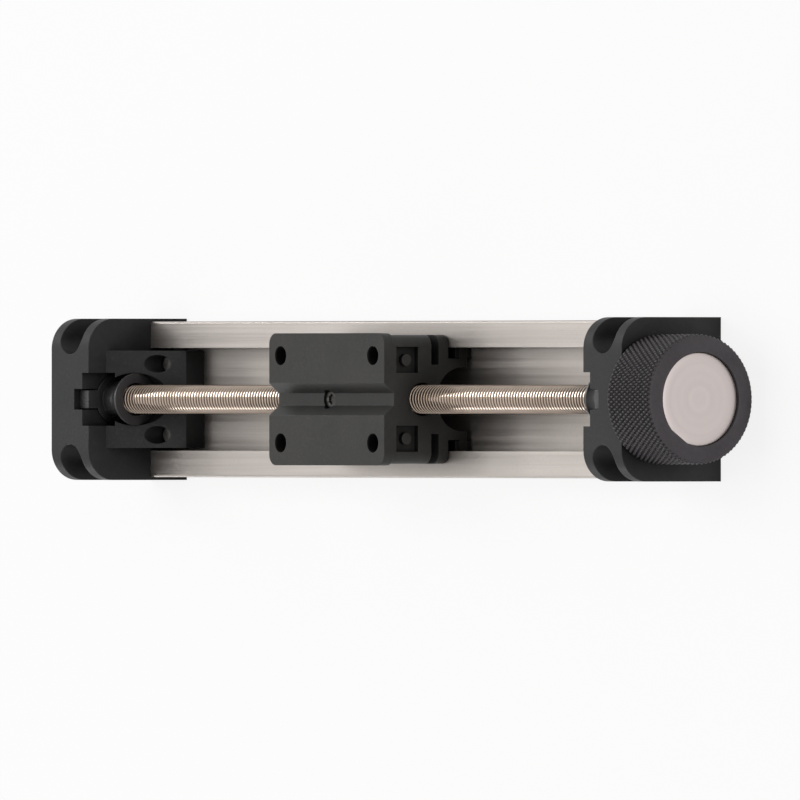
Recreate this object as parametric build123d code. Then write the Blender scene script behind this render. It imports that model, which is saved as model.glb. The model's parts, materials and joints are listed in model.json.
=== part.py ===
"""Linear translation stage: a C-channel rail, two end blocks, a leadscrew with a hand knob, and a carriage.

Millimetres. The origin is the middle of the rail's underside, X runs along the leadscrew towards the knob,
Z points up.
"""
from build123d import *

import os
from math import sqrt

os.makedirs("parts", exist_ok=True)

# ---------------------------------------------------------------- rail
rail_length = 145.0
rail_width = 27.0
rail_height = 7.7
rail_edge_radius = 0.4
rail_floor = 3.0
rail_wall = 1.5
lip_thickness = 1.1
lip_opening = 17.8

# ---------------------------------------------------------------- end blocks
block_length = 11.0
block_width = 28.0
block_height = 21.0
block_corner_radius = 5.3
axis_height = 13.5

mount_hole_diameter = 3.4
mount_hole_pitch = 22.0
mount_slot_width = 6.4
mount_ledge_height = 6.0

# the gusset is the sloping foot that lies in the rail's channel
gusset_length = 9.4
gusset_slope_top = 17.15
gusset_end_height = 3.9
gusset_side_gap = 0.48
foot_screw_setback = 6.0
foot_screw_pitch = 12.3

# ---------------------------------------------------------------- leadscrew
thread_diameter = 5.0
thread_pitch = 0.8
journal_diameter = 4.0
running_clearance = 0.05
end_float = 0.1
free_clearance = 0.35

# ---------------------------------------------------------------- bearing bushes
bush_diameter = 9.0
bush_seat_clearance = 0.05
bush_seat_depth = 4.6
bush_flange_length = 2.9
bush_neck_diameter = 6.4
bush_neck_length = 2.2
bush_rim_length = 0.4
bush_nose_length = 3.8
bush_counterbore_depth = 2.0
key_width = 3.1
key_side_gap = 0.25
key_slot_depth = 4.3
key_end_gap = 0.05
key_top = 19.8
top_notch_depth = 1.9
top_notch_side_gap = 0.1

# ---------------------------------------------------------------- end retention
ring_recess_diameter = 9.0
ring_recess_depth = 2.6
thrust_washer_diameter = 8.0
thrust_washer_thickness = 0.5
ring_diameter = 7.4
ring_thickness = 0.6
ring_groove_diameter = 3.2
journal_overhang = 0.8

# ---------------------------------------------------------------- knob
knob_diameter = 22.2
knob_length = 12.3
knob_gap = 0.3
knob_edge = 0.5
cap_diameter = 16.0
cap_thickness = 0.8
cap_setback = 0.5
cap_flat_width = 4.0
nut_well_diameter = 10.0
nut_well_floor = 5.2
knob_washer_diameter = 9.0
knob_washer_thickness = 0.8
knob_nut_across_flats = 7.0
knob_nut_thickness = 3.2
shaft_end_overhang = 0.8

# ---------------------------------------------------------------- carriage
carriage_length = 33.7
carriage_rest = -1.25
carriage_rise = 8.1
carriage_plate_width = 22.72
carriage_plate_thickness = 2.0
carriage_body_width = 22.14
carriage_corner_radius = 1.9
lip_clearance = 0.3
neck_width = 14.0
wing_width = 21.2
wing_bottom = 4.0
wing_top = 5.6
slit_height = 1.6
slit_bottom = 10.0
slit_root = 11.8
tunnel_radius = 5.5
tunnel_centre_height = 5.0
tunnel_depth = 14.0
top_groove_width = 5.6
top_groove_floor_width = 2.1
top_groove_depth = 2.06
payload_hole_diameter = 3.3
payload_hole_depth = 6.5
payload_pitch_x = 27.0
payload_pitch_y = 15.0
pocket_width = 4.5
pocket_height = 4.65
pocket_depth = 1.2
pocket_centre_y = 6.75
pocket_centre_z = 16.7
pocket_boss_diameter = 2.0
pocket_boss_setback = 0.2

# ---------------------------------------------------------------- glide liners
liner_clearance = 0.15
liner_root_gap = 0.15

# ---------------------------------------------------------------- lead nut
nut_diameter = 8.0
nut_length = 17.0
nut_flange_width = 17.0
nut_flange_height = 9.0
nut_flange_thickness = 1.5
nut_flange_corner = 3.0
nut_screw_diameter = 2.0
nut_screw_head_diameter = 3.8
nut_screw_head_height = 1.2
nut_screw_length = 6.0
nut_screw_pitch = 12.6
lock_screw_diameter = 3.2
lock_screw_hole_gap = 0.05
lock_screw_setback = 0.35
lock_screw_inset = 2.15

# ---------------------------------------------------------------- foot screws
foot_screw_diameter = 3.0
foot_screw_head_diameter = 5.6
foot_screw_hole_gap = 0.05
foot_screw_rail_gap = 0.2
foot_screw_tip = 8.5

# ---------------------------------------------------------------- derived positions
half_rail = rail_length / 2
block_outer = half_rail + block_length
channel_half = rail_width / 2 - rail_wall
lip_underside = rail_height - lip_thickness
bush_seat_radius = bush_diameter / 2 + bush_seat_clearance
thrust_face = bush_nose_length - bush_counterbore_depth
washer_outer_face = block_length - ring_recess_depth + thrust_washer_thickness
ring_inner_face = washer_outer_face + end_float
carriage_top = axis_height + carriage_rise
journal_radius = journal_diameter / 2
overcut = 1.0


def box(x0, x1, y0, y1, z0, z1):
    """Box between two corners."""
    return Pos((x0 + x1) / 2, (y0 + y1) / 2, (z0 + z1) / 2) * Box(x1 - x0, y1 - y0, z1 - z0)


def rod_x(radius, x0, x1, y=0.0, z=axis_height):
    """Round bar along X."""
    return Pos((x0 + x1) / 2, y, z) * Rot(0, 90, 0) * Cylinder(radius, x1 - x0)


def rod_z(radius, z0, z1, x=0.0, y=0.0):
    """Round bar along Z."""
    return Pos(x, y, (z0 + z1) / 2) * Cylinder(radius, z1 - z0)


def prism_x(points, x0, x1):
    """Prism along X with a polygon of (y, z) points."""
    face = make_face(Polyline(*[(x0, y, z) for y, z in points], close=True))
    return extrude(face, amount=x1 - x0, dir=(1, 0, 0))


def prism_y(points, y0, y1):
    """Prism along Y with a polygon of (x, z) points."""
    face = make_face(Polyline(*[(x, y0, z) for x, z in points], close=True))
    return extrude(face, amount=y1 - y0, dir=(0, 1, 0))


def rounded_plan(length, width, radius, z0, z1):
    """Upright plate with rounded corners in plan."""
    return Pos(0, 0, z0) * extrude(RectangleRounded(length, width, radius), z1 - z0)


def at_drive_end(shape):
    """Move a shape from an end block's own frame (inner face at x = 0, outwards +X) to the knob end."""
    return Pos(half_rail, 0, 0) * shape


def at_far_end(shape):
    """The same at the other end, turned round."""
    return Pos(-half_rail, 0, 0) * Rot(0, 0, 180) * shape


# ================================================================ rail
def make_rail():
    half = rail_width / 2
    gap = lip_opening / 2
    profile = [
        (-half, 0),
        (half, 0),
        (half, rail_height),
        (gap, rail_height),
        (gap, lip_underside),
        (channel_half, lip_underside),
        (channel_half, rail_floor),
        (-channel_half, rail_floor),
        (-channel_half, lip_underside),
        (-gap, lip_underside),
        (-gap, rail_height),
        (-half, rail_height),
    ]
    rail = prism_x(profile, -half_rail, half_rail)
    top_edges = rail.edges().filter_by(Axis.X).group_by(Axis.Z)[-1].sort_by(Axis.Y)
    rail = fillet([top_edges[0], top_edges[-1]], rail_edge_radius)
    hole_radius = foot_screw_diameter / 2 + foot_screw_rail_gap
    head_radius = foot_screw_head_diameter / 2
    sink_depth = head_radius - hole_radius
    for end in (-1, 1):
        for side in (-1, 1):
            x = end * (half_rail - foot_screw_setback)
            y = side * foot_screw_pitch / 2
            sink = Pos(x, y, sink_depth / 2) * Cone(head_radius, hole_radius, sink_depth)
            rail -= sink
            rail -= rod_z(hole_radius, 0, rail_floor, x, y)
    return rail


# ================================================================ end block, in its own frame
def make_block():
    half = block_width / 2
    square = box(0, block_length, -half, half, 0, block_height)
    top_edges = square.edges().filter_by(Axis.X).group_by(Axis.Z)[-1]
    block = fillet(top_edges, block_corner_radius)

    gusset_half = lip_opening / 2 - gusset_side_gap
    gusset_profile = [
        (0, rail_floor),
        (-gusset_length, rail_floor),
        (-gusset_length, rail_floor + gusset_end_height),
        (0, gusset_slope_top),
    ]
    block += prism_y(gusset_profile, -gusset_half, gusset_half)

    # seat for the bush, with a trough through the gusset
    block -= rod_x(bush_seat_radius, -gusset_length - overcut, bush_seat_depth)
    notch_half = bush_diameter / 2 + top_notch_side_gap
    block -= box(-overcut, top_notch_depth, -notch_half, notch_half, axis_height, block_height + overcut)
    slot_half = key_width / 2 + key_side_gap
    block -= box(-overcut, key_slot_depth, -slot_half, slot_half, axis_height, block_height + overcut)

    # shaft passage and outer recess
    block -= rod_x(journal_radius + free_clearance, 0, block_length)
    block -= rod_x(ring_recess_diameter / 2, block_length - ring_recess_depth, block_length + overcut)

    for side in (-1, 1):
        y = side * mount_hole_pitch / 2
        edge = side * (half + overcut)
        x_mid = block_length / 2
        slot_radius = mount_slot_width / 2
        block -= rod_z(mount_hole_diameter / 2, -overcut, block_height + overcut, x_mid, y)
        block -= rod_z(slot_radius, mount_ledge_height, block_height + overcut, x_mid, y)
        block -= box(
            x_mid - slot_radius,
            x_mid + slot_radius,
            min(y, edge),
            max(y, edge),
            mount_ledge_height,
            block_height + overcut,
        )
        hole_radius = foot_screw_diameter / 2 + foot_screw_hole_gap
        y_screw = side * foot_screw_pitch / 2
        block -= rod_z(hole_radius, rail_floor - overcut, gusset_slope_top, -foot_screw_setback, y_screw)
    return block


# ================================================================ bearing bush, in the block's frame
def make_bush():
    outer = bush_diameter / 2
    neck = bush_neck_diameter / 2
    bore = journal_radius + running_clearance
    counterbore = thread_diameter / 2 + free_clearance
    flange_face = bush_seat_depth - bush_flange_length
    neck_end = flange_face - bush_neck_length
    rim_start = -bush_nose_length + bush_rim_length
    flare_run = neck_end - rim_start
    flare_rise = outer - neck
    flare_mid = (neck_end - flare_run * sqrt(0.5), outer - flare_rise * sqrt(0.5))
    outline = [
        Line((bush_seat_depth, bore), (bush_seat_depth, outer)),
        Line((bush_seat_depth, outer), (flange_face, outer)),
        Line((flange_face, outer), (flange_face, neck)),
        Line((flange_face, neck), (neck_end, neck)),
        ThreePointArc((neck_end, neck), flare_mid, (rim_start, outer)),
        Line((rim_start, outer), (-bush_nose_length, outer)),
        Line((-bush_nose_length, outer), (-bush_nose_length, counterbore)),
        Line((-bush_nose_length, counterbore), (-thrust_face, counterbore)),
        Line((-thrust_face, counterbore), (-thrust_face, bore)),
        Line((-thrust_face, bore), (bush_seat_depth, bore)),
    ]
    section = make_face(outline)
    bush = Pos(0, 0, axis_height) * revolve(section, Axis.X)
    key_half = key_width / 2
    key_root = axis_height + neck
    key_back = key_slot_depth - key_end_gap
    bush += box(flange_face, key_back, -key_half, key_half, key_root, key_top)
    return bush


def make_thrust_washer():
    floor = block_length - ring_recess_depth
    washer = rod_x(thrust_washer_diameter / 2, floor, floor + thrust_washer_thickness)
    return washer - rod_x(journal_radius + free_clearance, floor, floor + thrust_washer_thickness)


def make_retaining_ring():
    end = ring_inner_face + ring_thickness
    ring = rod_x(ring_diameter / 2, ring_inner_face, end)
    ring -= rod_x(ring_groove_diameter / 2, ring_inner_face, end)
    mouth = ring_groove_diameter / 2
    return ring - box(ring_inner_face, end, -mouth, mouth, axis_height - ring_diameter, axis_height)


def make_foot_screw(side):
    radius = foot_screw_diameter / 2
    head_radius = foot_screw_head_diameter / 2
    head_height = head_radius - radius
    x = -foot_screw_setback
    y = side * foot_screw_pitch / 2
    head = Pos(x, y, head_height / 2) * Cone(head_radius, radius, head_height)
    return head + rod_z(radius, head_height, foot_screw_tip, x, y)


# ================================================================ leadscrew
knob_back = block_outer + knob_gap
knob_front = knob_back + knob_length
well_floor = knob_back + nut_well_floor
knob_nut_start = well_floor + knob_washer_thickness
knob_nut_end = knob_nut_start + knob_nut_thickness
cap_back = knob_front - cap_setback - cap_thickness


def make_lead_screw():
    shoulder = half_rail - thrust_face - end_float
    far_tip = half_rail + ring_inner_face + ring_thickness + journal_overhang
    shaft = rod_x(thread_diameter / 2, -shoulder, shoulder)
    shaft += rod_x(journal_radius, -far_tip, -shoulder)
    shaft += rod_x(journal_radius, shoulder, knob_nut_end + shaft_end_overhang)
    for end in (-1, 1):
        near = end * (half_rail + ring_inner_face)
        far = end * (half_rail + ring_inner_face + ring_thickness)
        groove = rod_x(journal_radius + overcut, min(near, far), max(near, far))
        groove -= rod_x(ring_groove_diameter / 2, min(near, far), max(near, far))
        shaft -= groove
    return shaft


# ================================================================ knob
cap_radius = cap_diameter / 2
cap_flat_distance = sqrt(cap_radius**2 - (cap_flat_width / 2) ** 2)


def cap_shape(x0, x1):
    """Round plate with one flat, facing up and to -Y, as the cap and as its seat."""
    disc = rod_x(cap_radius, x0, x1)
    flat = box(x0, x1, -cap_diameter, cap_diameter, cap_flat_distance, cap_diameter)
    turned = Pos(0, 0, axis_height) * Rot(55, 0, 0) * flat
    return disc - turned


def make_knob():
    blank = rod_x(knob_diameter / 2, knob_back, knob_front)
    rims = blank.edges().filter_by(GeomType.CIRCLE)
    knob = chamfer(rims, knob_edge)
    knob -= cap_shape(cap_back, knob_front + overcut)
    knob -= rod_x(nut_well_diameter / 2, well_floor, cap_back)
    return knob - rod_x(journal_radius, knob_back - overcut, well_floor)


def make_knob_washer():
    washer = rod_x(knob_washer_diameter / 2, well_floor, knob_nut_start)
    return washer - rod_x(journal_radius, well_floor, knob_nut_start)


def make_knob_nut():
    hexagon = RegularPolygon(knob_nut_across_flats / 2, 6, major_radius=False)
    blank = Pos(knob_nut_start, 0, axis_height) * Rot(0, 90, 0) * extrude(hexagon, knob_nut_thickness)
    return blank - rod_x(journal_radius, knob_nut_start, knob_nut_end)


def make_knob_cap():
    return cap_shape(cap_back, cap_back + cap_thickness)


# ================================================================ carriage, about its own middle
carriage_half = carriage_length / 2
body_bottom = rail_height + lip_clearance
plate_bottom = carriage_top - carriage_plate_thickness
groove_floor = carriage_top - top_groove_depth
nut_radius = nut_diameter / 2
nut_front = nut_length - carriage_half
lock_x = nut_front - lock_screw_inset


def make_carriage_body():
    body_radius = carriage_corner_radius
    body = rounded_plan(carriage_length, carriage_plate_width, body_radius, plate_bottom, carriage_top)
    body += rounded_plan(carriage_length, carriage_body_width, body_radius, body_bottom, plate_bottom)
    neck = neck_width / 2
    wing = wing_width / 2
    body += box(-carriage_half, carriage_half, -neck, neck, wing_bottom, body_bottom)
    body += box(-carriage_half, carriage_half, -wing, wing, wing_bottom, wing_top)

    # arched tunnel under the screw, open to the front
    tunnel_start = carriage_half - tunnel_depth
    tunnel_end = carriage_half + overcut
    body -= rod_x(tunnel_radius, tunnel_start, tunnel_end, z=tunnel_centre_height)
    body -= box(tunnel_start, tunnel_end, -tunnel_radius, tunnel_radius, 0, tunnel_centre_height)

    # V groove along the top
    half_top = top_groove_width / 2
    half_floor = top_groove_floor_width / 2
    groove_profile = [
        (-half_top, carriage_top),
        (-half_floor, groove_floor),
        (half_floor, groove_floor),
        (half_top, carriage_top),
        (half_top, carriage_top + overcut),
        (-half_top, carriage_top + overcut),
    ]
    body -= prism_x(groove_profile, -carriage_half - overcut, carriage_half + overcut)

    # screw passage and seat for the flanged nut
    passage = thread_diameter / 2 + free_clearance
    body -= rod_x(passage, nut_front, carriage_half + overcut)
    body -= rod_x(nut_radius, -carriage_half - overcut, nut_front)
    flange_front = nut_flange_thickness - carriage_half
    body -= nut_flange(-carriage_half - overcut, flange_front)
    lock_radius = lock_screw_diameter / 2 + lock_screw_hole_gap
    body -= rod_z(lock_radius, axis_height, carriage_top, lock_x)

    for side in (-1, 1):
        root = side * slit_root / 2
        rim = side * (carriage_plate_width / 2 + overcut)
        slit_top = slit_bottom + slit_height
        slit_end = carriage_half + overcut
        body -= box(-slit_end, slit_end, min(root, rim), max(root, rim), slit_bottom, slit_top)
        for end in (-1, 1):
            x = end * payload_pitch_x / 2
            y = side * payload_pitch_y / 2
            body -= rod_z(payload_hole_diameter / 2, carriage_top - payload_hole_depth, carriage_top, x, y)
        y_mid = side * pocket_centre_y
        half_width = pocket_width / 2
        half_height = pocket_height / 2
        pocket = box(
            carriage_half - pocket_depth,
            carriage_half + overcut,
            y_mid - half_width,
            y_mid + half_width,
            pocket_centre_z - half_height,
            pocket_centre_z + half_height,
        )
        boss_start = carriage_half - pocket_depth
        boss_end = carriage_half - pocket_boss_setback
        boss = rod_x(pocket_boss_diameter / 2, boss_start, boss_end, y_mid, pocket_centre_z)
        body -= pocket - boss
        y_screw = side * nut_screw_pitch / 2
        tip = nut_screw_length - carriage_half
        body -= rod_x(nut_screw_diameter / 2, flange_front, tip, y_screw)
    return Pos(carriage_rest, 0, 0) * body


def nut_flange(x0, x1):
    """The nut's flange plate, also the shape of its seat."""
    outline = RectangleRounded(nut_flange_height, nut_flange_width, nut_flange_corner)
    return Pos(x0, 0, axis_height) * Rot(0, 90, 0) * extrude(outline, x1 - x0)


def make_lead_nut():
    back = -carriage_half
    nut = rod_x(nut_radius, back, nut_front)
    nut += nut_flange(back, back + nut_flange_thickness)
    nut -= rod_x(thread_diameter / 2 + running_clearance, back, nut_front)
    for side in (-1, 1):
        y = side * nut_screw_pitch / 2
        nut -= rod_x(nut_screw_diameter / 2, back, back + nut_flange_thickness, y)
    return Pos(carriage_rest, 0, 0) * nut


def make_nut_screw(side):
    y = side * nut_screw_pitch / 2
    back = -carriage_half
    head = rod_x(nut_screw_head_diameter / 2, back - nut_screw_head_height, back, y)
    screw = head + rod_x(nut_screw_diameter / 2, back, back + nut_screw_length, y)
    return Pos(carriage_rest, 0, 0) * screw


def make_lock_screw():
    top = groove_floor - lock_screw_setback
    screw = rod_z(lock_screw_diameter / 2, axis_height, top, lock_x)
    screw -= rod_x(nut_radius, lock_x - lock_screw_diameter, lock_x + lock_screw_diameter)
    return Pos(carriage_rest, 0, 0) * screw


def make_glide_liner(side):
    inner = neck_width / 2 + liner_root_gap
    outer = channel_half - liner_clearance
    low = rail_floor + liner_clearance
    high = lip_underside - liner_clearance
    strip = box(-carriage_half, carriage_half, inner, outer, low, high)
    strip -= box(-carriage_half, carriage_half, inner, wing_width / 2, wing_bottom, wing_top)
    liner = strip if side > 0 else mirror(strip, Plane.XZ)
    return Pos(carriage_rest, 0, 0) * liner


# ================================================================ write the parts
block = make_block()
bush = make_bush()
washer = make_thrust_washer()
ring = make_retaining_ring()

nodes = {
    "rail": make_rail(),
    "end_block_drive": at_drive_end(block),
    "end_block_far": at_far_end(block),
    "bush_drive": at_drive_end(bush),
    "bush_far": at_far_end(bush),
    "thrust_washer_drive": at_drive_end(washer),
    "thrust_washer_far": at_far_end(washer),
    "foot_screw_drive_a": at_drive_end(make_foot_screw(1)),
    "foot_screw_drive_b": at_drive_end(make_foot_screw(-1)),
    "foot_screw_far_a": at_far_end(make_foot_screw(1)),
    "foot_screw_far_b": at_far_end(make_foot_screw(-1)),
    "lead_screw": make_lead_screw(),
    "retaining_ring_drive": at_drive_end(ring),
    "retaining_ring_far": at_far_end(ring),
    "knob": make_knob(),
    "knob_washer": make_knob_washer(),
    "knob_nut": make_knob_nut(),
    "knob_cap": make_knob_cap(),
    "carriage_body": make_carriage_body(),
    "lead_nut": make_lead_nut(),
    "nut_screw_a": make_nut_screw(1),
    "nut_screw_b": make_nut_screw(-1),
    "lock_screw": make_lock_screw(),
    "glide_liner_a": make_glide_liner(1),
    "glide_liner_b": make_glide_liner(-1),
}

for name, shape in nodes.items():
    export_step(shape, "parts/" + name + ".step")
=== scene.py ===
"""Looks for the linear translation stage: thread, knurl, small screws, finishes, light and camera.

X runs along the leadscrew towards the knob and Z points up from the base, as in the part's own frame. The sizes
of the pieces are millimetres until mesh_from_rings() turns them into metres. The sizes in the finishes, the
floor, the lamps and the camera are metres.
"""

import json
from math import pi, radians, tau

import bpy
import numpy as np
from mathutils import Matrix, Vector


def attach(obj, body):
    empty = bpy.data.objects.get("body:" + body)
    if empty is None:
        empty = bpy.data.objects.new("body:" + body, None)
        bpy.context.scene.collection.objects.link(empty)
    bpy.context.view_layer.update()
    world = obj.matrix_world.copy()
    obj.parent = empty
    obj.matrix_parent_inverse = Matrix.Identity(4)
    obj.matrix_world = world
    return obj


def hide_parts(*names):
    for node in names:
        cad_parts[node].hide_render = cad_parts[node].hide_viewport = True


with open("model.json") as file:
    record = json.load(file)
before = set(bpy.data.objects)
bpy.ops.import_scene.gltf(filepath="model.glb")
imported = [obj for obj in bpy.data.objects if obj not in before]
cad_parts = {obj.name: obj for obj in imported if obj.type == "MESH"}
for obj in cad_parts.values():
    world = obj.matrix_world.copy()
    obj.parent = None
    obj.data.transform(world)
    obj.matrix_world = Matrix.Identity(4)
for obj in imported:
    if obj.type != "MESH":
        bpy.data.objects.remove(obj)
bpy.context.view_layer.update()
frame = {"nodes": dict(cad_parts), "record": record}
nodes = frame["nodes"]

MM = 0.001
AXIS_HEIGHT = 13.5
ON_AXIS = (0, 0, AXIS_HEIGHT)
ALONG, UP, DOWN = (1, 0, 0), (0, 0, 1), (0, 0, -1)


# ---------------------------------------------------------------- ring surfaces
def mesh_from_rings(name, rings, body, stands_for, closed=False, crease=35.0, groove=None):
    """A surface skinned over a stack of closed rings, given in mm as an array (rows, columns, 3).

    Point (i, j) joins (i + 1, j) and (i, j + 1), and the last column joins the first. With closed=True the last
    row joins the first as well, which makes a tube round a hole. Otherwise each end is closed by a fan to the
    mean of its ring. The faces are turned round as a whole if the solid's signed volume comes out negative.
    Edges that turn by more than crease degrees stay sharp. groove, from 0 on the outside to 1 at the bottom of a
    groove, is kept for each point for the finishes.
    """
    rings = np.asarray(rings, float) * MM
    rows, columns, _ = rings.shape
    points = rings.reshape(-1, 3)
    here = np.arange(rows * columns).reshape(rows, columns)
    beside = np.roll(here, -1, axis=1)
    if closed:
        above, above_beside = np.roll(here, -1, axis=0), np.roll(beside, -1, axis=0)
        quads = np.stack([here, above, above_beside, beside], -1).reshape(-1, 4)
        fans = np.zeros((0, 3), int)
    else:
        quads = np.stack([here[:-1], here[1:], beside[1:], beside[:-1]], -1).reshape(-1, 4)
        first, last = len(points), len(points) + 1
        points = np.concatenate([points, rings[0].mean(0)[None], rings[-1].mean(0)[None]])
        start = np.stack([np.full(columns, first), here[0], beside[0]], -1)
        finish = np.stack([np.full(columns, last), beside[-1], here[-1]], -1)
        fans = np.concatenate([start, finish])
    triangles = np.concatenate([quads[:, [0, 1, 2]], quads[:, [0, 2, 3]], fans])
    middle = points.mean(0)
    a, b, c = (points[triangles[:, k]] - middle for k in range(3))
    if np.einsum("ij,ij->i", a, np.cross(b, c)).sum() < 0:
        quads, fans = quads[:, ::-1], fans[:, ::-1]
    mesh = bpy.data.meshes.new(name)
    mesh.from_pydata(points.tolist(), [], quads.tolist() + fans.tolist())
    mesh.shade_smooth()
    mesh.set_sharp_from_angle(angle=radians(crease))
    if groove is not None:
        depth = np.zeros(len(points), np.float32)
        depth[: groove.size] = groove.ravel()
        mesh.attributes.new("groove", "FLOAT", "POINT").data.foreach_set("value", depth)
    piece = bpy.data.objects.new(name, mesh)
    bpy.context.scene.collection.objects.link(piece)
    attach(piece, body)
    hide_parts(*stands_for)
    return piece


def around(columns):
    """Angles of one ring's points, evenly spaced."""
    return np.arange(columns) * tau / columns


def turned(profile, angle, origin, axis, up):
    """Rings of a turned shape. profile is a list of (distance along the axis, radius), where either may be an
    array over the angle, so that a ring can be a hexagon or dip where it meets a curved face. Each point is the
    origin plus distance times the axis plus radius times (up turned by the angle about the axis)."""
    axis, up = np.asarray(axis, float), np.asarray(up, float)
    side = np.cross(axis, up)
    along = np.stack([np.broadcast_to(d, angle.shape) for d, _ in profile]).astype(float)
    radius = np.stack([np.broadcast_to(r, angle.shape) for _, r in profile]).astype(float)
    spoke = np.cos(angle)[:, None] * up + np.sin(angle)[:, None] * side
    return np.asarray(origin, float) + along[..., None] * axis + radius[..., None] * spoke


def hexagon(angle, across_flats):
    """Radius of a regular hexagon at each angle: half the width across its flats over the cosine of the angle
    from the middle of the nearest flat."""
    from_flat = (angle + pi / 6) % (pi / 3) - pi / 6
    return across_flats / 2 / np.cos(from_flat)


CREST_SHARE = 0.42
ROOT_SHARE = 0.14


def thread_depth(turns):
    """Depth of a rolled thread over one pitch, 0 at the crest and 1 at the root: a flat crest and a flat root,
    each a fixed share of the pitch wide, with two straight flanks between them."""
    from_crest = np.abs((turns + 0.5) % 1.0 - 0.5)
    return np.clip((from_crest - CREST_SHARE / 2) / (0.5 - CREST_SHARE / 2 - ROOT_SHARE / 2), 0.0, 1.0)


def smooth_step(value):
    """0 below 0, 1 above 1 and an S curve between."""
    t = np.clip(value, 0.0, 1.0)
    return t * t * (3.0 - 2.0 * t)


# ---------------------------------------------------------------- leadscrew
THREAD_PITCH = 0.8
THREAD_RADIUS = 2.5
THREAD_DEPTH = 0.45
THREAD_COLUMNS = 22
THREAD_ROWS_PER_PITCH = 24
SHOULDER = 70.6
SHOULDER_STEP = 0.05
JOURNAL_RADIUS = 2.0
JOURNAL_CHAMFER = 0.35
FAR_TIP = -82.9
NEAR_TIP = 93.8
RING_GROOVE_START = 81.5
RING_GROOVE_END = 82.1
RING_GROOVE_RADIUS = 1.6


def journal(tip):
    """Profile of a plain journal from the shoulder outwards, with its retaining-ring groove and chamfered tip."""
    return [
        (SHOULDER, JOURNAL_RADIUS),
        (RING_GROOVE_START, JOURNAL_RADIUS),
        (RING_GROOVE_START, RING_GROOVE_RADIUS),
        (RING_GROOVE_END, RING_GROOVE_RADIUS),
        (RING_GROOVE_END, JOURNAL_RADIUS),
        (tip - JOURNAL_CHAMFER, JOURNAL_RADIUS),
        (tip, JOURNAL_RADIUS - JOURNAL_CHAMFER),
        (tip, (JOURNAL_RADIUS - JOURNAL_CHAMFER) / 2),
    ]


def lead_screw():
    """M5 x 0.8 right-hand thread between two shoulders, with a journal at each end.

    On the threaded length the radius at (x, angle) is the outside radius less the thread depth of
    x / pitch - angle / tau. The thread fades in over one pitch behind each shoulder, whose 45 degree lead-in
    holds the radius down to a small step over the journal.
    """
    angle = around(THREAD_COLUMNS)
    x = np.linspace(-SHOULDER, SHOULDER, round(2 * SHOULDER / THREAD_PITCH * THREAD_ROWS_PER_PITCH) + 1)
    from_shoulder = SHOULDER - np.abs(x)
    turns = x[:, None] / THREAD_PITCH - angle[None, :] / tau
    depth = smooth_step(from_shoulder / THREAD_PITCH)[:, None] * thread_depth(turns)
    lead_in = np.minimum(THREAD_RADIUS, JOURNAL_RADIUS + SHOULDER_STEP + from_shoulder)[:, None]
    radius = np.minimum(lead_in, THREAD_RADIUS - THREAD_DEPTH * depth)
    far_end = [(-d, r) for d, r in reversed(journal(-FAR_TIP))]
    near_end = journal(NEAR_TIP)
    rings = turned([*far_end, *zip(x, radius), *near_end], angle, ON_AXIS, ALONG, UP)
    groove = np.pad(depth, ((len(far_end), len(near_end)), (0, 0)))
    return mesh_from_rings(
        "threaded_lead_screw", rings, "screw", ["lead_screw"], crease=25.0, groove=groove
    )


# ---------------------------------------------------------------- knob
KNOB_RADIUS = 11.09
KNOB_BACK = 83.8
KNOB_FRONT = 96.1
KNOB_EDGE = 0.45
KNOB_COLUMNS = 640
KNURL_ROWS = 72
KNURL_LINES = 80
KNURL_LEAN = radians(30)
KNURL_SLOPE = 3.0
KNURL_DEPTH = 0.36
KNURL_RIDGE = -0.3
BORE_EDGE = 0.2
HUB_RADIUS = 6.0
RIM_EDGE = 0.12
RECESS_RADIUS = 8.0
RECESS_FLAT = 7.746
RECESS_FLOOR = 94.8
WELL_RADIUS = 5.0
WELL_FLOOR = 89.0
WELL_EDGE = 0.15
CAP_TURN = radians(55)
CAP_COLUMNS = 192
CAP_THICKNESS = 0.8
CAP_GAP = 0.04


def recess_radius(angle, radius):
    """Radius of a circle with one flat: the smaller of the circle's and the flat's, which is its distance from
    the axis over the cosine of the angle from the middle of the flat."""
    from_flat = np.cos(angle - CAP_TURN)
    flat = RECESS_FLAT * radius / RECESS_RADIUS
    return np.where(from_flat > 0.5, np.minimum(radius, flat / np.maximum(from_flat, 0.5)), radius)


def knurl_height(turns):
    """Height of one family of V grooves, 0 at the bottom of a groove and 1 between grooves: the knurl's slope
    times the distance from the nearest groove, as a share of their spacing, and 1 at most."""
    return np.minimum(1.0, KNURL_SLOPE * np.abs((turns + 0.5) % 1.0 - 0.5))


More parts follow.
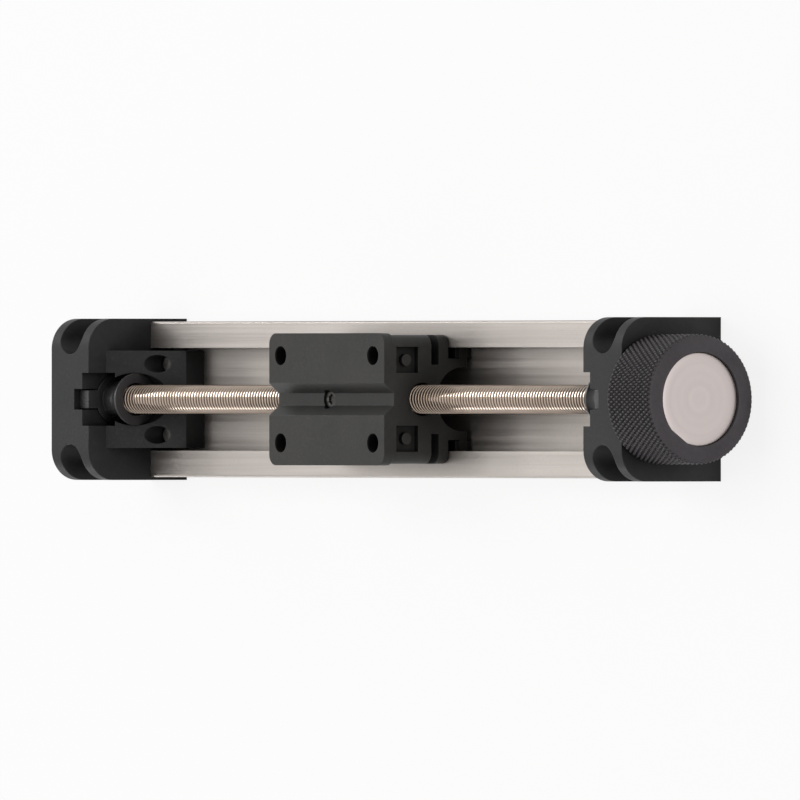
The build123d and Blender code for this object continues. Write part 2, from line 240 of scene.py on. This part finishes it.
def knob():
    """Knob with a diamond knurl, a recess for the cap and a deep well for the nut.

    Two families of V grooves cross, one leaning to each side of the axis, and the height is the lower of the
    two. The radius of the grip is the smaller of the knurl's and that of a 45 degree chamfer at each rim, so the
    grooves run out through the chamfers. The section is one closed loop, from the bore over the back, the grip,
    the front rim and the recess to the well and back to the bore. The ridges are marked with a value below 0.
    """
    angle = around(KNOB_COLUMNS)
    grip_start, grip_end = KNOB_BACK + 0.02, KNOB_FRONT - 0.05
    x = np.linspace(grip_start, grip_end, KNURL_ROWS)
    round_the_grip = angle[None, :] * KNURL_LINES / tau
    sideways = (x[:, None] - grip_start) * (np.tan(KNURL_LEAN) / KNOB_RADIUS * KNURL_LINES / tau)
    height = np.minimum(knurl_height(round_the_grip + sideways), knurl_height(round_the_grip - sideways))
    chamfered = KNOB_RADIUS - KNOB_EDGE + np.minimum(x - KNOB_BACK, KNOB_FRONT - x)[:, None]
    grip_radius = np.minimum(chamfered, KNOB_RADIUS - KNURL_DEPTH * (1.0 - height))
    mouth = recess_radius(angle, RECESS_RADIUS)
    back = [
        (WELL_FLOOR, JOURNAL_RADIUS),
        (KNOB_BACK + BORE_EDGE, JOURNAL_RADIUS),
        (KNOB_BACK, JOURNAL_RADIUS + BORE_EDGE),
        (KNOB_BACK, HUB_RADIUS),
        (KNOB_BACK, KNOB_RADIUS - KNOB_EDGE - 0.05),
    ]
    front = [
        (KNOB_FRONT, KNOB_RADIUS - KNOB_EDGE - RIM_EDGE),
        (KNOB_FRONT, mouth + RIM_EDGE),
        (KNOB_FRONT - RIM_EDGE / 3, mouth + RIM_EDGE / 3),
        (KNOB_FRONT - RIM_EDGE, mouth),
        (RECESS_FLOOR, mouth),
        (RECESS_FLOOR, WELL_RADIUS + WELL_EDGE),
        (RECESS_FLOOR - WELL_EDGE, WELL_RADIUS),
        (WELL_FLOOR, WELL_RADIUS),
    ]
    rings = turned([*back, *zip(x, grip_radius), *front], angle, ON_AXIS, ALONG, UP)
    marks = np.where(height < 1.0, 1.0 - height, KNURL_RIDGE) * (grip_radius < chamfered)
    groove = np.pad(marks, ((len(back), len(front)), (0, 0)))
    return mesh_from_rings("knurled_knob", rings, "screw", ["knob"], closed=True, groove=groove)


def knob_cap():
    """Round cap with one flat, a broken edge at its back and a rounded edge round its flat face."""
    angle = around(CAP_COLUMNS)
    back, front = RECESS_FLOOR, RECESS_FLOOR + CAP_THICKNESS
    rim = recess_radius(angle, RECESS_RADIUS - CAP_GAP)
    section = [
        (back, rim * 0.5),
        (back, rim - 0.1),
        (back + 0.1, rim),
        (front - 0.14, rim),
        (front - 0.04, rim - 0.05),
        (front, rim - 0.16),
        *((front, rim * share) for share in (0.8, 0.55, 0.3, 0.1)),
    ]
    rings = turned(section, angle, ON_AXIS, ALONG, UP)
    return mesh_from_rings("turned_knob_cap", rings, "screw", ["knob_cap"])


# ---------------------------------------------------------------- small screws
SHANK_ROWS_PER_PITCH = 10
SHANK_COLUMNS = 36
LOCK_SCREW_COLUMNS = 48
NUT_SCREW_X = -19.3
NUT_SCREW_Y = 6.3
FOOT_SCREW_X = 66.5
FOOT_SCREW_Y = 6.15
LOCK_SCREW_X = -3.25
LOCK_SCREW_TOP = 19.19
LEAD_NUT_RADIUS = 4.0


def threaded_shank(angle, start, end, radius, pitch, depth):
    """Rings of a threaded bar between two distances: the radius less the thread depth of distance / pitch less
    the turned angle, fading out over half a pitch at both ends."""
    distance = np.linspace(start, end, round((end - start) / pitch * SHANK_ROWS_PER_PITCH) + 1)
    fade = smooth_step(np.minimum(distance - start, end - distance) / (pitch / 2))
    turns = distance[:, None] / pitch - angle[None, :] / tau
    return zip(distance, radius - depth * fade[:, None] * thread_depth(turns))


def hex_socket(angle, across_flats, depth):
    """Dished floor, wall and mouth of a hexagon socket in a screw's face, with a small countersink round its
    mouth that just clears the hexagon's corners."""
    socket = hexagon(angle, across_flats)
    return [(depth + 0.15, socket * 0.35), (depth, socket), (0.12, socket), (0.0, across_flats * 0.64)]


def nut_screw(side, node):
    """M2 cap screw that holds the nut's flange: hexagon socket, round head with a soft edge, threaded shank."""
    angle = around(SHANK_COLUMNS)
    head, head_height, shank, length, tip_chamfer = 1.9, 1.2, 1.0, 7.2, 0.25
    profile = [
        *hex_socket(angle, across_flats=1.5, depth=0.8),
        (0.0, head - 0.16),
        (0.05, head - 0.05),
        (0.18, head),
        (head_height, head),
        (head_height, shank),
        *threaded_shank(angle, head_height + 0.1, length - tip_chamfer, shank, pitch=0.4, depth=0.2),
        (length, shank - tip_chamfer),
    ]
    rings = turned(profile, angle, (NUT_SCREW_X, side * NUT_SCREW_Y, AXIS_HEIGHT), ALONG, UP)
    return mesh_from_rings("socket_" + node, rings, "carriage", [node])


def foot_screw(x, y, node):
    """M3 countersunk screw with its face down: hexagon socket, 90 degree cone and threaded shank up to its tip."""
    angle = around(SHANK_COLUMNS)
    head, shank, length, tip_chamfer = 2.8, 1.5, 8.5, 0.3
    cone_end = head - shank
    profile = [
        *hex_socket(angle, across_flats=2.0, depth=1.1),
        (0.0, head - 0.08),
        (0.06, head - 0.02),
        (0.12, head - 0.12),
        (cone_end, shank),
        *threaded_shank(angle, cone_end + 0.2, length - tip_chamfer, shank, pitch=0.5, depth=0.28),
        (length, shank - tip_chamfer),
    ]
    rings = turned(profile, angle, (x, y, 0), UP, ALONG)
    return mesh_from_rings("countersunk_" + node, rings, "base", [node])


def lock_screw():
    """Headless screw over the lead nut, with a hexagon socket up, a chamfered mouth and a threaded side. Its foot
    follows the nut: the depth at (x, y) is the top less the nut's axis, less the square root of the nut's radius
    squared less y squared, less a small gap."""
    angle = around(LOCK_SCREW_COLUMNS)
    radius, gap = 1.6, 0.05

    def foot(r):
        over_nut = np.sqrt(LEAD_NUT_RADIUS**2 - (r * np.sin(angle)) ** 2)
        return LOCK_SCREW_TOP - AXIS_HEIGHT - over_nut - gap

    profile = [
        *hex_socket(angle, across_flats=1.5, depth=0.5),
        (0.0, radius - 0.08),
        (0.04, radius - 0.02),
        (0.12, radius),
        *threaded_shank(angle, 0.25, 1.5, radius, pitch=0.5, depth=0.2),
        (foot(radius), radius - 0.02),
        (foot(radius * 0.6), radius * 0.6),
        (foot(radius * 0.2), radius * 0.2),
    ]
    rings = turned(profile, angle, (LOCK_SCREW_X, 0, LOCK_SCREW_TOP), DOWN, ALONG)
    return mesh_from_rings("socket_lock_screw", rings, "carriage", ["lock_screw"])


pieces = {
    "screw_steel": [lead_screw()],
    "knob_plastic": [knob()],
    "cap_aluminium": [knob_cap()],
    "fastener_steel": [nut_screw(1, "nut_screw_a"), nut_screw(-1, "nut_screw_b"), lock_screw()],
    "foot_screw_steel": [
        foot_screw(FOOT_SCREW_X, FOOT_SCREW_Y, "foot_screw_drive_a"),
        foot_screw(FOOT_SCREW_X, -FOOT_SCREW_Y, "foot_screw_drive_b"),
        foot_screw(-FOOT_SCREW_X, -FOOT_SCREW_Y, "foot_screw_far_a"),
        foot_screw(-FOOT_SCREW_X, FOOT_SCREW_Y, "foot_screw_far_b"),
    ],
}


# ---------------------------------------------------------------- node helpers
def put(tree, kind, inputs=None, **settings):
    """Add a node, set its properties, and fill its inputs with values or with links from other sockets."""
    made = tree.nodes.new(kind)
    for key, value in settings.items():
        setattr(made, key, value)
    for key, value in (inputs or {}).items():
        if isinstance(value, bpy.types.NodeSocket):
            tree.links.new(value, made.inputs[key])
        else:
            made.inputs[key].default_value = value
    return made


def maths(tree, operation, a, b):
    return put(tree, "ShaderNodeMath", {0: a, 1: b}, operation=operation).outputs[0]


def plus(tree, a, b):
    return maths(tree, "ADD", a, b)


def times(tree, a, b):
    return maths(tree, "MULTIPLY", a, b)


def per(tree, size):
    """Scale of a pattern whose marks have the given size."""
    return maths(tree, "DIVIDE", 1.0, size)


def blend(tree, amount, a, b):
    """Colour a where amount is 0 and colour b where it is 1. The mix node's colours are its inputs 6 and 7."""
    mix = put(tree, "ShaderNodeMix", {0: amount, 6: a, 7: b}, data_type="RGBA")
    return mix.outputs[2]


def spread(tree, value, old, new):
    """Stretch a value from its old range to a new one, both as (low, high), and hold it inside the new range."""
    ranges = {0: value, 1: old[0], 2: old[1], 3: new[0], 4: new[1]}
    return put(tree, "ShaderNodeMapRange", ranges, clamp=True).outputs[0]


def noise(tree, vector, scale, detail=2.0, roughness=0.5):
    """Plain noise from 0 to 1."""
    settings = {"Vector": vector, "Scale": scale, "Detail": detail, "Roughness": roughness}
    return put(tree, "ShaderNodeTexNoise", settings).outputs[0]


def vector_of(tree, x, y, z):
    return put(tree, "ShaderNodeCombineXYZ", {0: x, 1: y, 2: z}).outputs[0]


def parts_of(tree, vector):
    """The X, Y and Z of a vector."""
    return put(tree, "ShaderNodeSeparateXYZ", {0: vector}).outputs


def effect(name, inputs, outputs):
    """An empty node group with named sockets, with its input and output nodes."""
    tree = bpy.data.node_groups.new(name, "ShaderNodeTree")
    for label, kind, value in inputs:
        socket = tree.interface.new_socket(label, in_out="INPUT", socket_type=kind)
        if value is not None:
            socket.default_value = value
    for label, kind in outputs:
        tree.interface.new_socket(label, in_out="OUTPUT", socket_type=kind)
    return tree, tree.nodes.new("NodeGroupInput").outputs, tree.nodes.new("NodeGroupOutput").inputs


FLOAT, VECTOR = "NodeSocketFloat", "NodeSocketVector"


# ---------------------------------------------------------------- shared effects
def edge_wear_group():
    """Softened edges and the rubbed line along them. Edge is how far the rounded normal leans away from the flat
    one, broken up by a patchy noise."""
    tree, given, result = effect(
        "edge_wear",
        [("Vector", VECTOR, None), ("Radius", FLOAT, 0.0002), ("Patch Size", FLOAT, 0.003)],
        [("Normal", VECTOR), ("Edge", FLOAT)],
    )
    soft = put(tree, "ShaderNodeBevel", {"Radius": given["Radius"]}, samples=4).outputs[0]
    flat = put(tree, "ShaderNodeNewGeometry").outputs["True Normal"]
    lean = put(tree, "ShaderNodeVectorMath", {0: soft, 1: flat}, operation="DOT_PRODUCT").outputs["Value"]
    edge = spread(tree, lean, (0.99, 0.80), (0.0, 1.0))
    patches = noise(tree, given["Vector"], per(tree, given["Patch Size"]), detail=3.0, roughness=0.6)
    tree.links.new(times(tree, edge, spread(tree, patches, (0.35, 0.65), (0.25, 1.0))), result["Edge"])
    tree.links.new(soft, result["Normal"])
    return tree


def hollow_shade_group():
    """Painted shade in hollows: how closed in a point is within a few millimetres, broken up by a cloud, as a mask
    that darkens a finish's colour where shade falls.
    """
    tree, given, result = effect(
        "painted_hollow_shade",
        [("Vector", VECTOR, None), ("Reach", FLOAT, 0.006)],
        [("Hollow Shade", FLOAT)],
    )
    open_share = put(tree, "ShaderNodeAmbientOcclusion", {"Distance": given["Reach"]}, samples=6).outputs["AO"]
    closed_in = spread(tree, open_share, (0.4, 0.96), (1.0, 0.0))
    clouds = noise(tree, given["Vector"], 300.0, detail=3.0, roughness=0.6)
    tree.links.new(times(tree, closed_in, spread(tree, clouds, (0.3, 0.6), (0.7, 1.0))), result["Hollow Shade"])
    return tree


def moulded_grain_group():
    """Spark-eroded skin of a moulding: a fine pebble as height, and a slow uneven tone over the whole face."""
    tree, given, result = effect(
        "moulded_grain",
        [("Vector", VECTOR, None), ("Grain Size", FLOAT, 0.00018), ("Cloud Size", FLOAT, 0.009)],
        [("Height", FLOAT), ("Tone", FLOAT)],
    )
    per_grain = per(tree, given["Grain Size"])
    pebbles = {"Vector": given["Vector"], "Scale": per_grain}
    pebble = put(tree, "ShaderNodeTexVoronoi", pebbles, feature="SMOOTH_F1").outputs["Distance"]
    haze = noise(tree, given["Vector"], times(tree, per_grain, 0.35), detail=3.0, roughness=0.6)
    tree.links.new(plus(tree, times(tree, pebble, 0.6), haze), result["Height"])
    clouds = noise(tree, given["Vector"], per(tree, given["Cloud Size"]), detail=4.0, roughness=0.55)
    fine = noise(tree, given["Vector"], times(tree, per_grain, 0.15))
    tone = plus(tree, times(tree, clouds, 0.7), times(tree, fine, 0.3))
    tree.links.new(spread(tree, tone, (0.35, 0.65), (0.0, 1.0)), result["Tone"])
    return tree


def drawn_lines_group():
    """Die lines of a drawn profile: noise stretched far along X, in a fine and a coarse width."""
    tree, given, result = effect(
        "drawn_lines",
        [("Vector", VECTOR, None), ("Line Width", FLOAT, 0.0002), ("Stretch", FLOAT, 120.0)],
        [("Height", FLOAT), ("Tone", FLOAT)],
    )
    x, y, z = parts_of(tree, given["Vector"])
    stretched = vector_of(tree, maths(tree, "DIVIDE", x, given["Stretch"]), y, z)
    per_line = per(tree, given["Line Width"])
    fine = noise(tree, stretched, per_line, detail=3.0, roughness=0.65)
    coarse = noise(tree, stretched, times(tree, per_line, 0.16))
    tree.links.new(plus(tree, fine, times(tree, coarse, 0.8)), result["Height"])
    both = plus(tree, times(tree, fine, 0.5), times(tree, coarse, 0.5))
    tree.links.new(spread(tree, both, (0.36, 0.64), (0.0, 1.0)), result["Tone"])
    return tree


def turning_rings_group():
    """Tool marks of a turned face or bar: noise of the distance from the leadscrew's axis and of the place along
    it."""
    tree, given, result = effect(
        "turning_rings",
        [("Vector", VECTOR, None), ("Ring Width", FLOAT, 0.00012)],
        [("Height", FLOAT), ("Tone", FLOAT)],
    )
    x, y, z = parts_of(tree, given["Vector"])
    from_axis = vector_of(tree, 0.0, y, maths(tree, "SUBTRACT", z, AXIS_HEIGHT * MM))
    distance = put(tree, "ShaderNodeVectorMath", {0: from_axis}, operation="LENGTH").outputs["Value"]
    place = vector_of(tree, x, distance, 0.0)
    per_ring = per(tree, given["Ring Width"])
    fine = noise(tree, place, per_ring, detail=3.0, roughness=0.7)
    broad = noise(tree, place, times(tree, per_ring, 0.12))
    tree.links.new(fine, result["Height"])
    both = plus(tree, times(tree, fine, 0.55), times(tree, broad, 0.45))
    tree.links.new(spread(tree, both, (0.36, 0.64), (0.0, 1.0)), result["Tone"])
    return tree


def settled_dust_group():
    """Fine dust on faces that look up: a speckle over a slow cloud, times how far the face looks up."""
    tree, given, result = effect(
        "settled_dust",
        [("Vector", VECTOR, None), ("Speck Size", FLOAT, 0.0004)],
        [("Dust", FLOAT)],
    )
    up = parts_of(tree, put(tree, "ShaderNodeNewGeometry").outputs["Normal"])[2]
    per_speck = per(tree, given["Speck Size"])
    specks = noise(tree, given["Vector"], per_speck, detail=4.0, roughness=0.7)
    clouds = noise(tree, given["Vector"], times(tree, per_speck, 0.04), detail=3.0)
    facing_up = spread(tree, up, (0.2, 0.9), (0.0, 1.0))
    lying = times(tree, facing_up, spread(tree, clouds, (0.35, 0.7), (0.2, 1.0)))
    tree.links.new(times(tree, lying, spread(tree, specks, (0.52, 0.72), (0.0, 1.0))), result["Dust"])
    return tree


EDGE_WEAR = edge_wear_group()
MOULDED_GRAIN = moulded_grain_group()
DRAWN_LINES = drawn_lines_group()
TURNING_RINGS = turning_rings_group()
SETTLED_DUST = settled_dust_group()
HOLLOW_SHADING = hollow_shade_group()


# ---------------------------------------------------------------- finish helpers
def spaced(named):
    """Values under Blender's socket names, which have spaces where the keywords have underscores."""
    return {key.replace("_", " "): value for key, value in named.items()}


def use(tree, group, **inputs):
    """Place a shared effect in a material, with its own values, and return its outputs."""
    return put(tree, "ShaderNodeGroup", spaced(inputs), node_tree=group).outputs


def rgb(red, green, blue):
    """A colour written as it looks on a screen, 0 to 255, as the linear colour that the nodes use."""
    screen = np.array([red, green, blue]) / 255.0
    linear = np.where(screen <= 0.04045, screen / 12.92, ((screen + 0.055) / 1.055) ** 2.4)
    return (*linear.tolist(), 1.0)


def finish_of(name, **fixed):
    """A new material with one Principled shader, its fixed values set on the shader, and its tree, shader and
    object coordinates."""
    material = bpy.data.materials.new(name)
    material.use_nodes = True
    tree = material.node_tree
    shader = tree.nodes["Principled BSDF"]
    for key, value in spaced(fixed).items():
        shader.inputs[key].default_value = value
    return material, tree, shader, put(tree, "ShaderNodeTexCoord").outputs["Object"]


def groove_of(tree):
    """How deep a point lies in the piece's thread or knurl, from 0 to 1, and less than 0 on the knurl's ridges."""
    return put(tree, "ShaderNodeAttribute", attribute_name="groove").outputs["Fac"]


def raised(tree, marks, edges, strength, distance):
    """Normal of a surface with softened edges that its marks raise by up to the distance."""
    inputs = {"Height": marks["Height"], "Normal": edges["Normal"], "Strength": strength, "Distance": distance}
    return put(tree, "ShaderNodeBump", inputs).outputs[0]


def feed(tree, shader, **sockets):
    """Link values to the shader's inputs."""
    for key, value in spaced(sockets).items():
        tree.links.new(value, shader.inputs[key])


# ---------------------------------------------------------------- finishes
DUST_COLOUR = rgb(150, 146, 140)
# near-black colour of the painted shade in hollows
PAINTED_SHADE_COLOUR = rgb(9, 9, 10)


def moulded_plastic(name, dark, light, rubbed_and_highlight, gloss, grain, bump, edge, specular=0.15, knurled=False):
    """Moulded plastic: pebbled skin, slow uneven tone, paler worn edges, a trace of dust, and painted shade that
    darkens its hollows. A knurled one has ridges painted paler, as worn ridges and as a painted highlight, and
    painted shade at the bottom of its grooves."""
    material, tree, shader, place = finish_of(name, Specular_IOR_Level=specular)
    skin = use(tree, MOULDED_GRAIN, Vector=place, Grain_Size=grain, Cloud_Size=0.008)
    edges = use(tree, EDGE_WEAR, Vector=place, Radius=edge, Patch_Size=0.002)
    dusty = use(tree, SETTLED_DUST, Vector=place, Speck_Size=0.0005)
    colour = blend(tree, skin["Tone"], dark, light)
    colour = blend(tree, times(tree, edges["Edge"], 0.55), colour, rubbed_and_highlight)
    colour = blend(tree, times(tree, dusty["Dust"], 0.1), colour, DUST_COLOUR)
    # painted shade: the colour goes towards near-black where the point is closed in
    shade_share = times(tree, use(tree, HOLLOW_SHADING, Vector=place)["Hollow Shade"], 0.9)
    if knurled:
        depth = groove_of(tree)
        # knurl ridges painted paler: worn ridges and a painted highlight
        colour = blend(tree, spread(tree, depth, (KNURL_RIDGE, 0.0), (0.7, 0.0)), colour, rubbed_and_highlight)
        # painted shade at the bottom of the knurl's grooves
        shade_share = maths(tree, "MAXIMUM", shade_share, spread(tree, depth, (0.05, 0.6), (0.0, 0.85)))
    colour = blend(tree, shade_share, colour, PAINTED_SHADE_COLOUR)
    moulded = spread(tree, skin["Tone"], (0.0, 1.0), (gloss, gloss + 0.1))
    worn = maths(tree, "SUBTRACT", moulded, times(tree, edges["Edge"], 0.12))
    rough = plus(tree, worn, times(tree, dusty["Dust"], 0.15))
    normal = raised(tree, skin, edges, bump, grain * 0.25)
    feed(tree, shader, Base_Color=colour, Roughness=rough, Normal=normal)
    return material


def drawn_aluminium(name):
    """Clear-anodised drawn profile: warm grey metal with die lines along X and bright broken edges."""
    material, tree, shader, place = finish_of(name, Metallic=1.0, Anisotropic=0.25)
    lines = use(tree, DRAWN_LINES, Vector=place, Line_Width=0.00022, Stretch=140.0)
    edges = use(tree, EDGE_WEAR, Vector=place, Radius=0.00015, Patch_Size=0.004)
    clouds = spread(tree, noise(tree, place, 90.0, detail=4.0, roughness=0.6), (0.4, 0.75), (0.0, 0.35))
    dusty = use(tree, SETTLED_DUST, Vector=place, Speck_Size=0.0006)
    colour = blend(tree, lines["Tone"], rgb(159, 153, 148), rgb(173, 167, 162))
    colour = blend(tree, clouds, colour, rgb(157, 150, 144))
    colour = blend(tree, times(tree, edges["Edge"], 0.5), colour, rgb(232, 229, 226))
    drawn = spread(tree, lines["Tone"], (0.0, 1.0), (0.36, 0.46))
    rough = plus(tree, drawn, times(tree, dusty["Dust"], 0.2))
    normal = raised(tree, lines, edges, 0.2, 0.00003)
    feed(tree, shader, Base_Color=colour, Roughness=rough, Normal=normal)
    return material


def turned_metal(name, dark, light, bright, gloss, ring_width, bump):
    """Turned or plated metal: fine rings round the leadscrew's axis, darker clouds and bright edges."""
    material, tree, shader, place = finish_of(name, Metallic=1.0)
    rings = use(tree, TURNING_RINGS, Vector=place, Ring_Width=ring_width)
    edges = use(tree, EDGE_WEAR, Vector=place, Radius=0.00008, Patch_Size=0.002)
    clouds = spread(tree, noise(tree, place, 160.0, detail=4.0, roughness=0.6), (0.45, 0.8), (0.0, 0.4))
    colour = blend(tree, rings["Tone"], dark, light)
    colour = blend(tree, clouds, colour, dark)
    colour = blend(tree, times(tree, edges["Edge"], 0.5), colour, bright)
    rough = spread(tree, rings["Tone"], (0.0, 1.0), (gloss, gloss + 0.1))
    normal = raised(tree, rings, edges, bump, 0.00002)
    feed(tree, shader, Base_Color=colour, Roughness=rough, Normal=normal)
    return material


def rolled_thread_steel(name):
    """Rolled leadscrew steel: bright, polished crests, and a brown that darkens towards the roots, partly an oil
    film and partly painted shade in the thread's hollows.
    """
    material, tree, shader, place = finish_of(name, Metallic=1.0)
    rings = use(tree, TURNING_RINGS, Vector=place, Ring_Width=0.00006)
    edges = use(tree, EDGE_WEAR, Vector=place, Radius=0.00003, Patch_Size=0.003)
    crest_not_root = spread(tree, groove_of(tree), (0.05, 0.35), (1.0, 0.0))
    smears = spread(tree, noise(tree, place, 220.0, detail=4.0, roughness=0.6), (0.4, 0.7), (0.0, 0.35))
    # darker brown towards the roots: partly oil film, partly painted shade
    colour = blend(tree, crest_not_root, rgb(92, 78, 64), rgb(182, 166, 153))
    colour = blend(tree, smears, colour, rgb(128, 112, 94))
    colour = blend(tree, times(tree, rings["Tone"], 0.12), colour, rgb(200, 186, 174))
    rough = plus(tree, spread(tree, crest_not_root, (0.0, 1.0), (0.34, 0.14)), times(tree, smears, 0.2))
    normal = raised(tree, rings, edges, 0.06, 0.00002)
    feed(tree, shader, Base_Color=colour, Roughness=rough, Normal=normal)
    return material


finishes = {
    "rail_aluminium": drawn_aluminium("rail_drawn_aluminium"),
    "block_plastic": moulded_plastic(
        "block_black_moulding", dark=rgb(41, 41, 42), light=rgb(49, 49, 49), rubbed_and_highlight=rgb(92, 90, 88),
        gloss=0.44, grain=0.00016, bump=0.35, edge=0.00022,
    ),
    "bush_plastic": moulded_plastic(
        "bush_dark_bearing_plastic", dark=rgb(52, 51, 52), light=rgb(61, 60, 61), rubbed_and_highlight=rgb(132, 131, 130),
        gloss=0.26, grain=0.0001, bump=0.1, edge=0.00014, specular=0.5,
    ),
    "washer_steel": turned_metal(
        "washer_bright_steel", dark=rgb(150, 148, 145), light=rgb(178, 176, 173), bright=rgb(222, 221, 219),
        gloss=0.28, ring_width=0.0001, bump=0.1,
    ),
    "ring_steel": turned_metal(
        "ring_spring_steel", dark=rgb(84, 82, 80), light=rgb(104, 102, 100), bright=rgb(168, 166, 163),
        gloss=0.32, ring_width=0.00008, bump=0.1,
    ),
    "fastener_steel": turned_metal(
        "fastener_black_steel", dark=rgb(56, 55, 54), light=rgb(66, 65, 63), bright=rgb(82, 80, 78),
        gloss=0.42, ring_width=0.00008, bump=0.12,
    ),
    "foot_screw_steel": turned_metal(
        "foot_screw_plated_steel", dark=rgb(164, 162, 158), light=rgb(186, 184, 180), bright=rgb(224, 222, 219),
        gloss=0.26, ring_width=0.0001, bump=0.1,
    ),
    "screw_steel": rolled_thread_steel("leadscrew_rolled_steel"),
    "knob_plastic": moulded_plastic(
        "knob_black_grip", dark=rgb(62, 58, 61), light=rgb(71, 67, 70), rubbed_and_highlight=rgb(102, 98, 100),
        gloss=0.4, grain=0.00012, bump=0.2, edge=0.00012, knurled=True,
    ),
    "cap_aluminium": turned_metal(
        "cap_spun_aluminium", dark=rgb(191, 181, 178), light=rgb(195, 185, 182), bright=rgb(222, 217, 214),
        gloss=0.36, ring_width=0.00014, bump=0.03,
    ),
    "carriage_plastic": moulded_plastic(
        "carriage_black_moulding", dark=rgb(48, 48, 47), light=rgb(57, 56, 54), rubbed_and_highlight=rgb(96, 94, 91),
        gloss=0.42, grain=0.00016, bump=0.35, edge=0.0002,
    ),
    "nut_plastic": moulded_plastic(
        "nut_bearing_plastic", dark=rgb(170, 168, 162), light=rgb(181, 179, 173), rubbed_and_highlight=rgb(206, 204, 198),
        gloss=0.4, grain=0.0001, bump=0.1, edge=0.0001,
    ),
    "liner_plastic": moulded_plastic(
        "liner_bearing_plastic", dark=rgb(22, 23, 23), light=rgb(29, 30, 30), rubbed_and_highlight=rgb(70, 70, 70),
        gloss=0.42, grain=0.0001, bump=0.1, edge=0.0001,
    ),
}

for slot_name, made_pieces in pieces.items():
    for piece in made_pieces:
        piece.data.materials.append(finishes[slot_name])
slot_of = {entry["node"]: entry["material_slot"] for entry in frame["record"]["subparts"]}
for node_name, solid in nodes.items():
    solid.data.materials.clear()
    solid.data.materials.append(finishes[slot_of[node_name]])


# ---------------------------------------------------------------- floor, world and lamps
WHITE = (1.0, 1.0, 1.0, 1.0)
FLOOR_COLOUR = (0.9, 0.9, 0.9, 1.0)
FLOOR_WHITENESS = 0.85
WORLD_STRENGTH = 0.36


def seen_rays(tree):
    """1 for what the camera sees, straight, mirrored or through glass, and 0 for the light on matt surfaces."""
    light_path = put(tree, "ShaderNodeLightPath").outputs
    seen = maths(tree, "MAXIMUM", light_path["Is Camera Ray"], light_path["Is Glossy Ray"])
    return maths(tree, "MAXIMUM", seen, light_path["Is Transmission Ray"])


def white_floor():
    """A wide pale floor just below the object. It takes the object's shadow as a plain matt surface, and to the
    camera and in reflections it is mostly a white of strength 1, so the shadow stays faint."""
    half, level = 6.0, -0.0001
    mesh = bpy.data.meshes.new("floor")
    corners = [(-half, -half, level), (half, -half, level), (half, half, level), (-half, half, level)]
    mesh.from_pydata(corners, [], [(0, 1, 2, 3)])
    floor = bpy.data.objects.new("floor", mesh)
    bpy.context.scene.collection.objects.link(floor)
    material, tree, shader, _ = finish_of(
        "floor_white", Base_Color=FLOOR_COLOUR, Roughness=0.9, Specular_IOR_Level=0.0
    )
    white_share = times(tree, seen_rays(tree), FLOOR_WHITENESS)
    white = put(tree, "ShaderNodeEmission", {"Color": WHITE, "Strength": 1.0}).outputs[0]
    mixed = put(tree, "ShaderNodeMixShader", {0: white_share, 1: shader.outputs[0], 2: white})
    tree.links.new(mixed.outputs[0], tree.nodes["Material Output"].inputs["Surface"])
    mesh.materials.append(material)


def soft_world():
    """An even white all round that lights matt surfaces at the world's strength, and is white where it is seen."""
    world = bpy.data.worlds.new("world")
    bpy.context.scene.world = world
    world.use_nodes = True
    tree = world.node_tree
    background = tree.nodes["Background"]
    background.inputs["Color"].default_value = WHITE
    strength = spread(tree, seen_rays(tree), (0.0, 1.0), (WORLD_STRENGTH, 1.0))
    tree.links.new(strength, background.inputs["Strength"])


def lamp(name, place, long_side, size, watts):
    """A soft rectangular lamp at a place in metres that faces the object. Its first size runs along long_side and
    its second across it, and the camera doesn't see it."""
    data = bpy.data.lights.new(name, "AREA")
    data.shape = "RECTANGLE"
    (data.size, data.size_y), data.energy = size, watts
    made = bpy.data.objects.new(name, data)
    bpy.context.scene.collection.objects.link(made)
    middle_of_object = Vector((0, 0, 0.01))
    away = (Vector(place) - middle_of_object).normalized()
    across = away.cross(Vector(long_side)).normalized()
    turn = Matrix((across.cross(away), across, away)).transposed().to_4x4()
    made.matrix_world = Matrix.Translation(place) @ turn
    made.visible_camera = False


white_floor()
soft_world()
lamp("top_lamp", (-0.4, 0.2, 1.4), long_side=(1, 0, 0), size=(1.3, 1.3), watts=13.0)
lamp("front_lamp", (1.5, 0.0, 0.17), long_side=(0, 1, 0), size=(1.0, 0.3), watts=7.0)
lamp("glint_lamp", (-1.26, 0.59, 0.70), long_side=(0, 0.766, -0.643), size=(0.6, 0.13), watts=3.0)
lamp("low_lamp", (-1.26, -0.88, 0.15), long_side=(0, 0, 1), size=(0.28, 0.3), watts=1.6)


# ---------------------------------------------------------------- camera
def camera():
    """A very long lens from the knob's side, 36 degrees up, rolled so that the leadscrew lies level."""
    sine, cosine = 0.5878, 0.8090
    right, up, back = Vector((sine, 0, -cosine)), Vector((0, 1, 0)), Vector((cosine, 0, sine))
    aim, distance = Vector((0.00661, -0.00012, 0.01171)), 6.4912
    data = bpy.data.cameras.new("camera")
    data.lens, data.sensor_width = 1700.0, 36.0
    data.clip_start, data.clip_end = 0.1, 40.0
    made = bpy.data.objects.new("camera", data)
    bpy.context.scene.collection.objects.link(made)
    turn = Matrix((right, up, back)).transposed().to_4x4()
    made.matrix_world = Matrix.Translation(aim + back.normalized() * distance) @ turn
    bpy.context.scene.camera = made


camera()
bpy.context.scene.view_settings.view_transform = "Standard"
